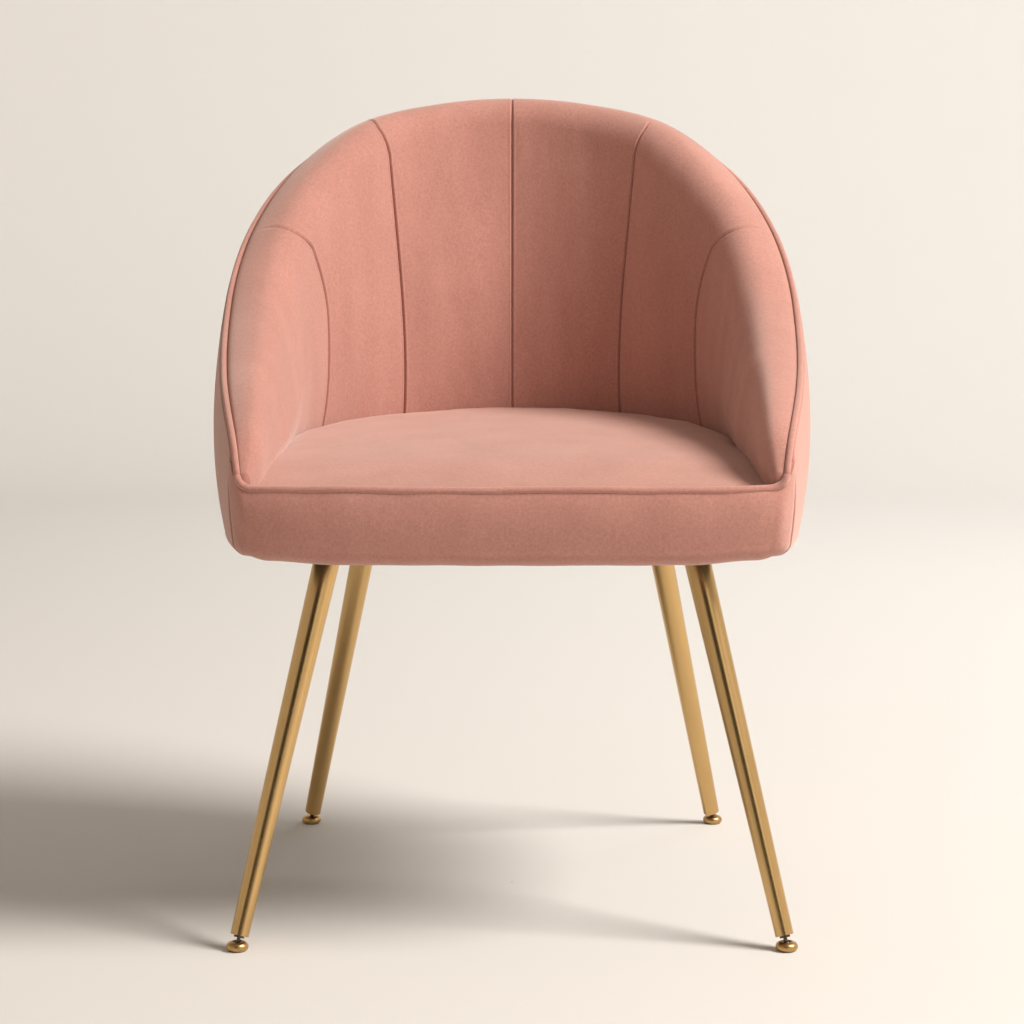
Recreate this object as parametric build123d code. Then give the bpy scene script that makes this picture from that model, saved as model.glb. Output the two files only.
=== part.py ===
from build123d import *
import math
import os

# Upholstered tub chair on four splayed metal legs.
# Millimetres. +Z up, front at -Y, left at -X. Origin on the floor, under the middle of the chair.
os.makedirs("parts", exist_ok=True)

# Heights
UNDERSIDE_Z = 358           # lower edge of the fabric, underside of the leg plates
FRAME_Z = 362               # underside of the wooden frame
RAIL_TOP_Z = 404
SEAT_Z = 450                # where the seat cushion meets the back padding
CROWN_Z = 458               # highest point of the seat cushion
CROWN_RADIUS = 1400

# Plan of the rim: half an ellipse behind the widest point, a longer ellipse in front of it
PLAN_Y = -11                # the widest point of the shell
RIM_HALF_WIDTH = 280.5
REAR_LENGTH = 284
FRONT_LENGTH = 546
FRONT_EDGE_Y = -247         # the arms' front edge, from PLAN_Y
FRONT_BOW = 15              # how far the middle of the front stands forward of its corners
FRONT_ANGLE = 90 + math.degrees(math.asin(-FRONT_EDGE_Y / FRONT_LENGTH))

# Side profile of the rim: (y from PLAN_Y, z)
RIM_PROFILE = [(-247, 440), (-225, 469), (-180, 495), (-103, 527), (0, 580),
               (90, 649.5), (160, 704), (215, 743.5), (255, 766.5), (284, 780)]
ROLL_HEIGHT = 5             # how far the padding stands above the rim
RIM_WELT_RADIUS = 3

# Layers of the shell, measured inwards from the outer cover
COVER = 2
PLY_OUTSIDE = 9
PLY_INSIDE = 19
RIM_THICKNESS = 28          # whole wall at the rim
SIDE_THICKNESS = 68         # whole wall at seat height, at the sides
BACK_THICKNESS = 34         # whole wall at seat height, at the middle of the back

# Seams between the back channels: angle round the plan, at the seat and at the rim
SEAM_ANGLES = [(30, 33.5), (59.5, 68)]

# Legs: where each foot stands (y from PLAN_Y), and how far its leg leans inwards per unit of height
FEET = {
    "front_left": (-253.5, -242), "front_right": (253.5, -242),
    "rear_left": (-220.6, 271), "rear_right": (220.6, 271),
}
FRONT_LEAN = (0.230, 0.275)
REAR_LEAN = (0.207, 0.290)
LEG_TOP_RADIUS = 12.75
LEG_END_RADIUS = 8.5
LEG_WALL = 1.5
PLATE_SIZE = 56
PLATE_SHIFT = 12            # the plate's centre lies inwards of the leg
PLATE_HOLES = 18            # screw holes, from the plate's centre
PLATE_HOLE_RADIUS = 2.7
SCREW_RADIUS = 2.5

# Levelling feet, along the leg from the ball's centre
BALL_Z = 5.4
BALL_RADIUS = 3.6
SOCKET_RADIUS = 3.67
STEM_RADIUS = 4
STEM_LENGTH = 24
NECK_RADIUS = 1.8
COLLAR_START = 6.7
COLLAR_END = 8.7
COLLAR_FLATS = 9.2
PAD_RADIUS = 10.3
PAD_TOP_Z = 8.6
SOLE_RADIUS = 8
SOLE_HEIGHT = 1.4
SOLE_RECESS = 0.8
INSERT_LENGTH = 24
CLEARANCE = 0.06            # radial running clearance of the stem


def spread(count, low, high):
    return [low + (high - low) * i / (count - 1) for i in range(count)]


def rim_plan(angle):
    """Rim in plan, x and y from PLAN_Y: 0 is the middle of the back, 90 the widest point."""
    turn = math.radians(angle)
    side = math.copysign(1, turn)
    turn = abs(turn)
    if turn <= math.pi / 2:
        return side * RIM_HALF_WIDTH * math.sin(turn), REAR_LENGTH * math.cos(turn)
    return side * RIM_HALF_WIDTH * math.sin(turn), FRONT_LENGTH * math.cos(turn)


def rim_height(y):
    """Height of the rim at y from PLAN_Y, a smooth curve through the side profile."""
    ends = [RIM_PROFILE[0]] + RIM_PROFILE + [RIM_PROFILE[-1]]
    slopes = [(c[1] - a[1]) / (c[0] - a[0]) for a, c in zip(ends, ends[2:])]
    for i, ((y0, z0), (y1, z1)) in enumerate(zip(RIM_PROFILE, RIM_PROFILE[1:])):
        if y <= y1:
            width = y1 - y0
            t = max(0, y - y0) / width
            return (z0 * (1 + 2 * t) * (1 - t) ** 2 + z1 * t * t * (3 - 2 * t)
                    + width * t * (1 - t) * (slopes[i] * (1 - t) - slopes[i + 1] * t))
    return RIM_PROFILE[-1][1]


def outward(angle):
    """Unit vector out of the shell in plan."""
    x, y = rim_plan(angle)
    length = REAR_LENGTH if abs(angle) <= 90 else FRONT_LENGTH
    nx, ny = x / RIM_HALF_WIDTH**2, y / length**2
    size = math.hypot(nx, ny)
    return nx / size, ny / size


def bulge(angle, z):
    """How far the outer cover stands out of the rim's plan at a height, negative inside it."""
    _, y = rim_plan(angle)
    drop = rim_height(y) - z
    depth = min(1, max(0, drop / (rim_height(y) - UNDERSIDE_Z)))
    rear = max(0, math.cos(math.radians(angle))) ** 2
    front = max(0, (abs(angle) - 90) / (FRONT_ANGLE - 90))
    swell = 13.5 - 9.5 * front
    taper = -8.5 - 40.5 * rear + 4.5 * front
    return 4 * swell * depth * (1 - depth) + taper * depth


def wall(angle, z):
    """Whole thickness of the wall at a height."""
    _, y = rim_plan(angle)
    if y < 0:
        base = SIDE_THICKNESS * (1 - (-y / 250) ** 1.6)
    else:
        base = BACK_THICKNESS + (SIDE_THICKNESS - BACK_THICKNESS) * math.sin(math.radians(angle)) ** 2
    base = max(base, PLY_INSIDE + 4)
    top = min(RIM_THICKNESS, base)
    share = min(1, max(0, (rim_height(y) - z) / max(1, rim_height(y) - SEAT_Z)))
    return top + (base - top) * share


def shell_point(angle, z, inset):
    """A point of the shell, inset millimetres inside its outer cover."""
    x, y = rim_plan(angle)
    nx, ny = outward(angle)
    out = bulge(angle, z) - inset
    return x + nx * out, PLAN_Y + y + ny * out


def bowl(inset, low=UNDERSIDE_Z, front=0):
    """Closed solid inside one layer of the shell. inset is a distance, or a function of angle and z."""
    levels = [384, 412, SEAT_Z, 495, 545, 600, 660, 725, 800]
    sections = []
    for z in [low] + [level for level in levels if level > low + 4]:
        points = []
        for angle in spread(25, -FRONT_ANGLE, FRONT_ANGLE):
            depth = inset(angle, z) if callable(inset) else inset
            points.append(Vector(*shell_point(angle, z, depth), z))
        left, right = points[0], points[-1]
        forward = Vector(0, -front, 0)
        edges = [Spline(points)]
        if front:
            edges += [Line(right, right + forward), Line(right + forward, left + forward), Line(left + forward, left)]
        else:
            edges.append(Line(right, left))
        sections.append(Face(Wire(edges)))
    return Solid.make_loft([face.outer_wire() for face in sections], True)


def layer(outer, inner, low=UNDERSIDE_Z):
    """The wall between two insets."""
    return bowl(outer, low) - bowl(inner, low - 10, front=40)


def below_rim(drop, front=FRONT_EDGE_Y, low=UNDERSIDE_Z - 20):
    """Everything lower than the rim less drop, behind the arms' front edge."""
    crest = [Vector(0, PLAN_Y + y, z - drop) for y, z in RIM_PROFILE]
    crest.append(Vector(0, PLAN_Y + 340, RIM_PROFILE[-1][1] - drop))
    start, end = crest[0], crest[-1]
    outline = Wire([
        Spline(crest), Line(end, Vector(0, end.Y, low)),
        Line(Vector(0, end.Y, low), Vector(0, start.Y, low)), Line(Vector(0, start.Y, low), start)])
    block = Pos(-400, 0, 0) * extrude(Face(outline), amount=800, dir=(1, 0, 0))
    return block & box_between((-400, PLAN_Y + front, low), (400, 400, 900))


def box_between(low, high):
    size = [b - a for a, b in zip(low, high)]
    middle = [(a + b) / 2 for a, b in zip(low, high)]
    return Pos(*middle) * Box(*size)


def along(point, direction):
    """A place whose local Z runs along a direction."""
    return Plane(origin=point, z_dir=direction).location


def mirrored(shape):
    return shape.mirror(Plane.YZ)


def write(name, shapes):
    shapes = shapes if isinstance(shapes, (list, tuple)) else [shapes]
    solids = [solid for shape in shapes for solid in shape.solids()]
    group = solids[0] if len(solids) == 1 else Compound(children=solids)
    group.label = name
    export_step(group, f"parts/{name}.step")
    written[name] = group


written = {}


# Legs: each leg's own axis, plate and screws

def lean_of(name):
    x, y = FEET[name]
    kx, ky = FRONT_LEAN if y < 0 else REAR_LEAN
    return math.copysign(kx, -x), math.copysign(ky, -y)


def on_leg(name, height):
    """Point of a leg's axis at a height above the floor."""
    x, y = FEET[name]
    kx, ky = lean_of(name)
    return Vector(x + kx * height, PLAN_Y + y + ky * height, height)


def leg_axis(name):
    kx, ky = lean_of(name)
    return Vector(kx, ky, 1).normalized()


def ball_centre(name):
    return on_leg(name, BALL_Z)


def plate_place(name):
    kx, ky = lean_of(name)
    inwards = Vector(kx, ky, 0).normalized()
    centre = on_leg(name, UNDERSIDE_Z) + inwards * PLATE_SHIFT
    return Plane(origin=centre, x_dir=(inwards.X, inwards.Y, 0), z_dir=(0, 0, 1)).location


def plate_corners():
    return [Pos(x, y) for x in (-PLATE_HOLES, PLATE_HOLES) for y in (-PLATE_HOLES, PLATE_HOLES)]


def cone_along(name, start, end, start_radius, end_radius):
    axis = leg_axis(name)
    return along(ball_centre(name) + axis * start, axis) * Cone(
        start_radius, end_radius, end - start, align=(Align.CENTER, Align.CENTER, Align.MIN))


def make_legs():
    length = 410
    taper = (LEG_TOP_RADIUS - LEG_END_RADIUS) / (length - 30)
    under_plate = box_between((-400, -400, 0), (400, 400, UNDERSIDE_Z))
    inserts, screws = [], []
    for name in FEET:
        far_radius = LEG_END_RADIUS + taper * length
        tube = cone_along(name, COLLAR_END, COLLAR_END + length, LEG_END_RADIUS, far_radius)
        bore = cone_along(name, COLLAR_END, COLLAR_END + length,
                          LEG_END_RADIUS - LEG_WALL, far_radius - LEG_WALL)
        write(f"leg_{name}", (tube - bore) & under_plate)
        insert = cone_along(name, COLLAR_END, COLLAR_END + INSERT_LENGTH,
                            LEG_END_RADIUS - LEG_WALL, LEG_END_RADIUS - LEG_WALL + taper * INSERT_LENGTH)
        hole = Cylinder(STEM_RADIUS + CLEARANCE, 120)
        inserts.append(insert - along(ball_centre(name), leg_axis(name)) * hole)
        place = plate_place(name)
        plate = extrude(RectangleRounded(PLATE_SIZE, PLATE_SIZE, 8), FRAME_Z - UNDERSIDE_Z)
        shank = Pos(0, 0, 0.6) * Cylinder(SCREW_RADIUS, 27, align=(Align.CENTER, Align.CENTER, Align.MIN))
        head = Pos(0, 0, -2.2) * Cylinder(4.6, 2.2, align=(Align.CENTER, Align.CENTER, Align.MIN))
        neck = Cylinder(SCREW_RADIUS, 0.6, align=(Align.CENTER, Align.CENTER, Align.MIN))
        for corner in plate_corners():
            plate -= corner * Cylinder(PLATE_HOLE_RADIUS, 20)
            screws.append(place * corner * (head + neck + shank))
        write(f"leg_plate_{name}", place * plate)
    write("foot_inserts", inserts)
    write("leg_screws", screws)


def screw_holes():
    """Pilot holes of the leg screws, to cut from the wood."""
    hole = Cylinder(SCREW_RADIUS, 60)
    return [plate_place(name) * corner * hole for name in FEET for corner in plate_corners()]


def cut_all(shape, tools):
    for tool in tools:
        shape = shape - tool
    return shape


def make_feet():
    for name in FEET:
        centre, axis = ball_centre(name), leg_axis(name)
        place = along(centre, axis)
        ball = Sphere(BALL_RADIUS)
        neck = Cylinder(NECK_RADIUS, COLLAR_START, align=(Align.CENTER, Align.CENTER, Align.MIN))
        stud = Pos(0, 0, COLLAR_START) * Cylinder(
            STEM_RADIUS, STEM_LENGTH, align=(Align.CENTER, Align.CENTER, Align.MIN))
        write(f"foot_stem_{name}", place * (ball + neck + stud))
        hexagon = RegularPolygon(COLLAR_FLATS / 2, 6, major_radius=False) - Circle(STEM_RADIUS + CLEARANCE)
        write(f"foot_collar_{name}", place * Pos(0, 0, COLLAR_START) * extrude(hexagon, COLLAR_END - COLLAR_START))
        top = PAD_TOP_Z - BALL_Z
        bottom = SOLE_HEIGHT - SOLE_RECESS - BALL_Z
        profile = make_face([
            Line((0, bottom), (SOLE_RADIUS + 0.6, bottom)),
            ThreePointArc((SOLE_RADIUS + 0.6, bottom), (PAD_RADIUS, (top + bottom) / 2 - 0.4), (7.4, top - 0.5)),
            Line((7.4, top - 0.5), (6.2, top)), Line((6.2, top), (0, top)), Line((0, top), (0, bottom))])
        body = revolve(Plane.XZ * profile, Axis.Z)
        opening = Cone(0.001, 8, 8 / math.tan(math.radians(58)), align=(Align.CENTER, Align.CENTER, Align.MIN))
        recess = Pos(0, 0, bottom) * Cylinder(
            SOLE_RADIUS, SOLE_RECESS, align=(Align.CENTER, Align.CENTER, Align.MIN))
        pad = body - Sphere(SOCKET_RADIUS) - opening - recess
        write(f"foot_pad_{name}", Pos(centre) * pad)
        sole = Pos(centre.X, centre.Y, 0) * Cylinder(
            SOLE_RADIUS, SOLE_HEIGHT, align=(Align.CENTER, Align.CENTER, Align.MIN))
        write(f"foot_sole_{name}", sole)


# Seat frame: a D of four rails, open in the middle

RAIL_WIDTH = 22
RAIL_HALF = 228             # side rails' outer face at the front
FRONT_RAIL_Y = -240         # front rail's outer face
SIDE_RAIL_END = 0           # where the side rails meet the bent rear rail
REAR_RAIL = (254, 214)      # outer semi-axes of the rear rail, from PLAN_Y


def half_ellipse_ring(outer, width):
    inner = (outer[0] - width, outer[1] - width)
    ring = Ellipse(*outer) - Ellipse(*inner)
    return ring & Pos(0, 300) * Rectangle(800, 600)


def make_seat_frame():
    height = RAIL_TOP_Z - FRAME_Z
    screws = frame_screws()
    holes = screw_holes() + screws + shell_screws()
    front = box_between((-RAIL_HALF + RAIL_WIDTH, FRONT_RAIL_Y, FRAME_Z),
                        (RAIL_HALF - RAIL_WIDTH, FRONT_RAIL_Y + RAIL_WIDTH, RAIL_TOP_Z))
    write("front_rail", cut_all(front, holes))
    rear = Pos(0, PLAN_Y, FRAME_Z) * extrude(half_ellipse_ring(REAR_RAIL, RAIL_WIDTH), height)
    rear = rear & box_between((-400, SIDE_RAIL_END, 0), (400, 400, 900))
    write("rear_rail", cut_all(rear, holes))
    side = Polyline((RAIL_HALF, FRONT_RAIL_Y), (REAR_RAIL[0], SIDE_RAIL_END),
                    (REAR_RAIL[0] - RAIL_WIDTH, SIDE_RAIL_END), (RAIL_HALF - RAIL_WIDTH, FRONT_RAIL_Y), close=True)
    right = Pos(0, 0, FRAME_Z) * extrude(make_face(side), height)
    right = cut_all(right, holes)
    write("side_rail_right", right)
    write("side_rail_left", mirrored(right))
    front_inner = FRONT_RAIL_Y + RAIL_WIDTH
    front_block = Polyline((RAIL_HALF - RAIL_WIDTH + 4, front_inner), (108, front_inner), (136, -136),
                           (178, -106), (RAIL_HALF - RAIL_WIDTH + 16, -106), close=True)
    rear_block = Polyline((95, 200), (95, 112), (150, 82), (215, 82), (215, 200), close=True)
    inside_rear = Pos(0, PLAN_Y) * Ellipse(REAR_RAIL[0] - RAIL_WIDTH, REAR_RAIL[1] - RAIL_WIDTH)
    solid = [extrude(make_face(front_block), height - 4), extrude(make_face(rear_block) & inside_rear, height - 4)]
    blocks = []
    for shape in solid:
        shape = cut_all(Pos(0, 0, FRAME_Z) * shape - right, holes)
        blocks += [shape, mirrored(shape)]
    write("corner_blocks", blocks)
    write("frame_screws", screws)


def frame_screws():
    """Screws driven level through the corner blocks into the rails."""
    screws = []
    for x, y in [(207, -190), (184, 104)]:
        for z in (374, 390):
            screw = Pos(x, y, z) * Rot(0, 90, 0) * Cylinder(2, 28)
            screws += [screw, mirrored(screw)]
    return screws


def shell_screws():
    """Screws through the moulded shell into the rails, round the back and sides."""
    screws = []
    z = (FRAME_Z + RAIL_TOP_Z) / 2
    for angle in (22, 55, 95):
        nx, ny = outward(angle)
        start = Vector(*shell_point(angle, z, PLY_OUTSIDE + 0.5), z)
        screw = along(start, (-nx, -ny, 0)) * Cylinder(2, 34, align=(Align.CENTER, Align.CENTER, Align.MIN))
        screws += [screw, mirrored(screw)]
    return screws


def make_springs():
    """Zigzag wires from the front rail to the rear rail, each held by two clips."""
    wires, clips = [], []
    wire_radius = 1.75
    z = RAIL_TOP_Z + 2.5
    for x in (-140, -70, 0, 70, 140):
        reach = math.sqrt(1 - (x / (REAR_RAIL[0] - RAIL_WIDTH)) ** 2)
        back = PLAN_Y + (REAR_RAIL[1] - RAIL_WIDTH) * reach + 9
        front = FRONT_RAIL_Y + RAIL_WIDTH - 10
        turns = 2 * round((back - front) / 44)
        straight = 14
        step = (back - front - 2 * straight) / turns
        points = [(x, front), (x, front + straight - 4)]
        for i in range(turns):
            y = front + straight + step * (i + 0.5)
            side = 18 if i % 2 else -18
            points += [(x + side, y - step * 0.3), (x + side, y + step * 0.3)]
        points += [(x, back - straight + 4), (x, back)]
        path = FilletPolyline(*[(px, py, z) for px, py in points], radius=step * 0.2)
        circle = Plane(origin=path @ 0, z_dir=path % 0) * Circle(wire_radius)
        wires.append(sweep(circle, path))
        for y in (front, back):
            clip = box_between((x - 9, y - 6, RAIL_TOP_Z), (x + 9, y + 6, z + wire_radius + 1.2))
            clips.append(clip - Pos(x, y, z) * Rot(90, 0, 0) * Cylinder(wire_radius + 0.4, 40))
    write("zigzag_springs", wires)
    write("spring_clips", clips)
    return z + wire_radius + 1.2


# Seat upholstery

WELT_Z = 428
WELT_RADIUS = 3.5
BORDER_TOP_Z = WELT_Z - WELT_RADIUS - 0.3
BORDER_DEPTH = 16
FOAM_SKIN = 1.6             # thickness of the cushion's cover


def front_face(inset, low, high):
    """Everything behind the bowed front, inset millimetres in."""
    corner_y, middle_y = PLAN_Y + FRONT_EDGE_Y + inset, PLAN_Y + FRONT_EDGE_Y - FRONT_BOW + inset
    bow, half = 245, 300
    outline = make_face([
        ThreePointArc((-bow, corner_y), (0, middle_y), (bow, corner_y)), Line((bow, corner_y), (half, corner_y)),
        Line((half, corner_y), (half, 400)), Line((half, 400), (-half, 400)), Line((-half, 400), (-half, corner_y)),
        Line((-half, corner_y), (-bow, corner_y))])
    return Pos(0, 0, low) * extrude(outline, high - low)


def inside_back(inset, low):
    """Block that fills the space inside the back padding, from low upwards."""
    def clear(angle, z):
        return wall(angle, min(z, SEAT_Z)) + inset
    return bowl(clear, low, front=40)


def seat_block(inset, low):
    """Crowned block inside the back padding, with a nose over the front border, behind the welt."""
    crown = Pos(0, PLAN_Y, CROWN_Z - CROWN_RADIUS - inset) * Sphere(CROWN_RADIUS)
    inside = inside_back(inset, low) & crown
    nose = front_face(WELT_RADIUS * 2 + inset, BORDER_TOP_Z + 0.3 + inset, CROWN_Z + 10)
    behind = front_face(BORDER_DEPTH + inset, low, CROWN_Z + 10)
    return (inside & nose) + (inside & behind)


def make_seat(spring_top):
    felt_high = spring_top + 3
    write("spring_felt", inside_back(26, spring_top) & front_face(26, spring_top, felt_high))
    foam = seat_block(0.8 + FOAM_SKIN, felt_high + 0.2)
    write("seat_foam", foam)
    write("seat_cushion_cover", seat_block(0.6, felt_high + 0.2) - seat_block(0.7 + FOAM_SKIN, felt_high - 1))


def make_front_border():
    half = 240
    slab = box_between((-half, -400, UNDERSIDE_Z), (half, -200, BORDER_TOP_Z))
    behind_foam = front_face(BORDER_DEPTH - 1, UNDERSIDE_Z - 1, BORDER_TOP_Z + 1)
    behind_cover = front_face(COVER, UNDERSIDE_Z - 1, BORDER_TOP_Z + 1)
    write("front_border_foam", (front_face(COVER, UNDERSIDE_Z + 4, BORDER_TOP_Z) & slab) - behind_foam)
    write("front_border_cover", (front_face(0, UNDERSIDE_Z, BORDER_TOP_Z) & slab) - behind_cover)


def make_seat_welt():
    """Piping along the front edge, between the cushion and the border."""
    corner_y, middle_y = PLAN_Y + FRONT_EDGE_Y + WELT_RADIUS, PLAN_Y + FRONT_EDGE_Y - FRONT_BOW + WELT_RADIUS
    path = ThreePointArc((-240, corner_y, WELT_Z), (0, middle_y, WELT_Z), (240, corner_y, WELT_Z))
    circle = Plane(origin=path @ 0, z_dir=path % 0) * Circle(WELT_RADIUS - 0.1)
    write("seat_welt", sweep(circle, path))


def make_dust_cover():
    """Thin cloth under the frame, cut out around the leg plates, with its staples."""
    low, high = FRAME_Z - 1.6, FRAME_Z - 0.8
    cloth = bowl(PLY_OUTSIDE + 1, low) & front_face(BORDER_DEPTH + 2, low, high)
    for name in FEET:
        cloth -= plate_place(name) * Box(PLATE_SIZE + 4, PLATE_SIZE + 4, 20)
    write("dust_cover", cloth)
    staple = Box(11, 1, 0.7) + Pos(-5.1, 0, 4) * Box(0.8, 1, 8) + Pos(5.1, 0, 4) * Box(0.8, 1, 8)
    middle = RAIL_WIDTH / 2
    spots = [(x, FRONT_RAIL_Y + middle, 0) for x in (-100, -60, -20, 20, 60, 100)]
    for angle in (-80, -25, 0, 25, 80):
        turn = math.radians(angle)
        x, y = (REAR_RAIL[0] - middle) * math.sin(turn), (REAR_RAIL[1] - middle) * math.cos(turn)
        spots.append((x, PLAN_Y + y, -angle))
    write("dust_cover_staples", [Pos(x, y, low - 0.4) * Rot(0, 0, turn) * staple for x, y, turn in spots])


# Back and arms

def seam_plane(index, side):
    """Plane of one seam, through its ends at the seat and at the rim and square to the wall."""
    low_angle, high_angle = SEAM_ANGLES[index]
    low = Vector(*shell_point(side * low_angle, SEAT_Z, wall(low_angle, SEAT_Z)), SEAT_Z)
    x, y = rim_plan(side * high_angle)
    high = Vector(x, PLAN_Y + y, rim_height(y))
    nx, ny = outward(side * (low_angle + high_angle) / 2)
    normal = Vector(nx, ny, 0).cross(high - low).normalized()
    return low, normal * side


def half_space(point, normal):
    """A big block on the far side of a plane."""
    return along(point, normal) * Box(2000, 2000, 1500, align=(Align.CENTER, Align.CENTER, Align.MIN))


def make_channels():
    """Six padded channels inside the moulded shell, from below the cushion's edge to the rim."""
    low = RAIL_TOP_Z + 8
    pad = layer(PLY_INSIDE, wall, low) & below_rim(-ROLL_HEIGHT, FRONT_EDGE_Y + BORDER_DEPTH + 2, low)
    right = pad & box_between((0, -400, 0), (400, 400, 900))
    past_first = half_space(*seam_plane(0, 1))
    past_second = half_space(*seam_plane(1, 1))
    first = right - past_first
    second = (right & past_first) - past_second
    third = right & past_second
    for name, shape in [("inner", first), ("outer", second), ("arm", third)]:
        write(f"back_channel_{name}_right", shape)
        write(f"back_channel_{name}_left", mirrored(shape))


def make_shell():
    ply = layer(PLY_OUTSIDE + 0.3, PLY_INSIDE - 0.6, FRAME_Z) & below_rim(13, FRONT_EDGE_Y + 40)
    screws = shell_screws()
    write("back_shell", cut_all(ply, screws))
    write("shell_screws", screws)
    padding = layer(COVER + 0.3, PLY_OUTSIDE, UNDERSIDE_Z + 2) & below_rim(12, FRONT_EDGE_Y + 6)
    write("outer_padding", padding)
    cover = layer(0, COVER) & below_rim(9.5)
    third = 118
    middle = box_between((-third, 0, 0), (third, 400, 900))
    side = box_between((third, -400, 0), (400, 400, 900)) + box_between((0, -400, 0), (third, 0, 900))
    write("outer_cover_centre", cover & middle)
    write("outer_cover_right", cover & side)
    write("outer_cover_left", mirrored(cover & side))


def make_rim_welt():
    points = []
    for angle in spread(29, -FRONT_ANGLE, FRONT_ANGLE):
        x, y = rim_plan(angle)
        nx, ny = outward(angle)
        depth = RIM_WELT_RADIUS + 0.2
        points.append((x - depth * nx, PLAN_Y + y - depth * ny, rim_height(y) - 1))
    path = Spline(points)
    circle = Plane(origin=path @ 0, z_dir=path % 0) * Circle(RIM_WELT_RADIUS)
    write("rim_welt", sweep(circle, path))


make_legs()
make_feet()
make_seat_frame()
spring_top = make_springs()
make_seat(spring_top)
make_front_border()
make_seat_welt()
make_dust_cover()
make_shell()
make_channels()
make_rim_welt()

whole = Compound(children=list(written.values())).bounding_box()
print("nodes", len(written), "low", whole.min, "high", whole.max)
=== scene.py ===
import math

import bmesh
import bpy
import numpy as np
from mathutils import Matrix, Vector


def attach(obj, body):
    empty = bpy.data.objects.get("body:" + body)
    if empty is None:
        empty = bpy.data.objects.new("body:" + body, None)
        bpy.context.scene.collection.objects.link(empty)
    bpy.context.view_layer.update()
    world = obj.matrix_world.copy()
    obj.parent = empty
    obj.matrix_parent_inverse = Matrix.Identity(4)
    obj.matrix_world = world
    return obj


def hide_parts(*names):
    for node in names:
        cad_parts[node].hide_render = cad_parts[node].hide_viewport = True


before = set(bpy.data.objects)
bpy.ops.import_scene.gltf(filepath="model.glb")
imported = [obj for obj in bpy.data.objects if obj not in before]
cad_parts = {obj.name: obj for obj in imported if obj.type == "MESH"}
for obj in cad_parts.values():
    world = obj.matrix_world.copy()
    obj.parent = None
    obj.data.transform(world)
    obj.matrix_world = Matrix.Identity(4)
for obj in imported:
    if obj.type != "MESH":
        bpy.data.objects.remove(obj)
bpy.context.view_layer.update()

# Upholstered tub chair. Metres, in the frame's own axes: +Z up, front at -Y, left at -X.

# Driving sizes, the same as the frame's. The tub's plan is two half ellipses that meet at PLAN_Y.
PLAN_Y = -0.011
RIM_HALF_WIDTH = 0.2805
REAR_LENGTH = 0.284
FRONT_LENGTH = 0.546
FRONT_EDGE_Y = -0.247
FRONT_BOW = 0.015
FRONT_HALF_WIDTH = 0.245
FRONT_ANGLE = 90 + math.degrees(math.asin(-FRONT_EDGE_Y / FRONT_LENGTH))
# Side profile of the rim: y from PLAN_Y, and height
RIM_PROFILE = np.array([(-0.247, 0.440), (-0.225, 0.469), (-0.180, 0.495), (-0.103, 0.527), (0, 0.580),
                        (0.090, 0.6495), (0.160, 0.704), (0.215, 0.7435), (0.255, 0.7665), (0.284, 0.780)])
UNDERSIDE_Z = 0.358
SEAT_EDGE_HALF_WIDTH = 0.2230
SEAT_EDGE_REAR = 0.2085
SEAT_EDGE_Z = 0.4455
WELT_Z = 0.4275
WELT_RADIUS = 0.0034
RIM_WELT_RADIUS = 0.0030

# Sizes of the upholstery's surface
BASE_ROOM = 0.004
RIM_GAP = 0.0065
COVER_DROP = 0.0035
COVER_THICKNESS = 0.0022
SHELL_ROOM = 0.019
STITCH_WIDTH = 0.0013
RIDGE_PLACE = 0.0021
RIDGE_WIDTH = 0.0010
RIDGE_SHARE = 0.35
CUSHION_TUCK = 0.008
CUSHION_BASE_Z = 0.4135
OUTER_SEAM = 24.5


# Shape of the shell, as in the frame

def rim_plan(angle):
    """Rim in plan, x and y from PLAN_Y. Angle 0 is the middle of the back, 90 the widest point."""
    turn = np.radians(angle)
    length = np.where(np.abs(angle) <= 90, REAR_LENGTH, FRONT_LENGTH)
    return RIM_HALF_WIDTH * np.sin(turn), length * np.cos(turn)


def outward(angle):
    """Unit vector out of the shell in plan."""
    x, y = rim_plan(angle)
    length = np.where(np.abs(angle) <= 90, REAR_LENGTH, FRONT_LENGTH)
    nx, ny = x / RIM_HALF_WIDTH**2, y / length**2
    size = np.hypot(nx, ny)
    return nx / size, ny / size


def rim_height(y):
    """Height of the rim at y from PLAN_Y, a smooth curve through the side profile."""
    ys, zs = RIM_PROFILE[:, 0], RIM_PROFILE[:, 1]
    y = np.clip(y, ys[0], ys[-1])
    before, after = np.r_[0, 0:len(ys) - 1], np.r_[1:len(ys), len(ys) - 1]
    slopes = (zs[after] - zs[before]) / (ys[after] - ys[before])
    i = np.clip(np.searchsorted(ys, y, side="left") - 1, 0, len(ys) - 2)
    width = ys[i + 1] - ys[i]
    t = (y - ys[i]) / width
    return (zs[i] * (1 + 2 * t) * (1 - t) ** 2 + zs[i + 1] * t * t * (3 - 2 * t)
            + width * t * (1 - t) * (slopes[i] * (1 - t) - slopes[i + 1] * t))


def bulge(angle, depth):
    """How far the outer cover stands out of the rim's plan, depth 0 at the rim and 1 at the underside."""
    rear = np.clip(np.cos(np.radians(angle)), 0, 1) ** 2
    front = np.clip((np.abs(angle) - 90) / (FRONT_ANGLE - 90), 0, 1)
    swell = 0.0135 - 0.0095 * front
    taper = -0.0085 - 0.0405 * rear + 0.0045 * front
    return 4 * swell * depth * (1 - depth) + taper * depth


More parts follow.
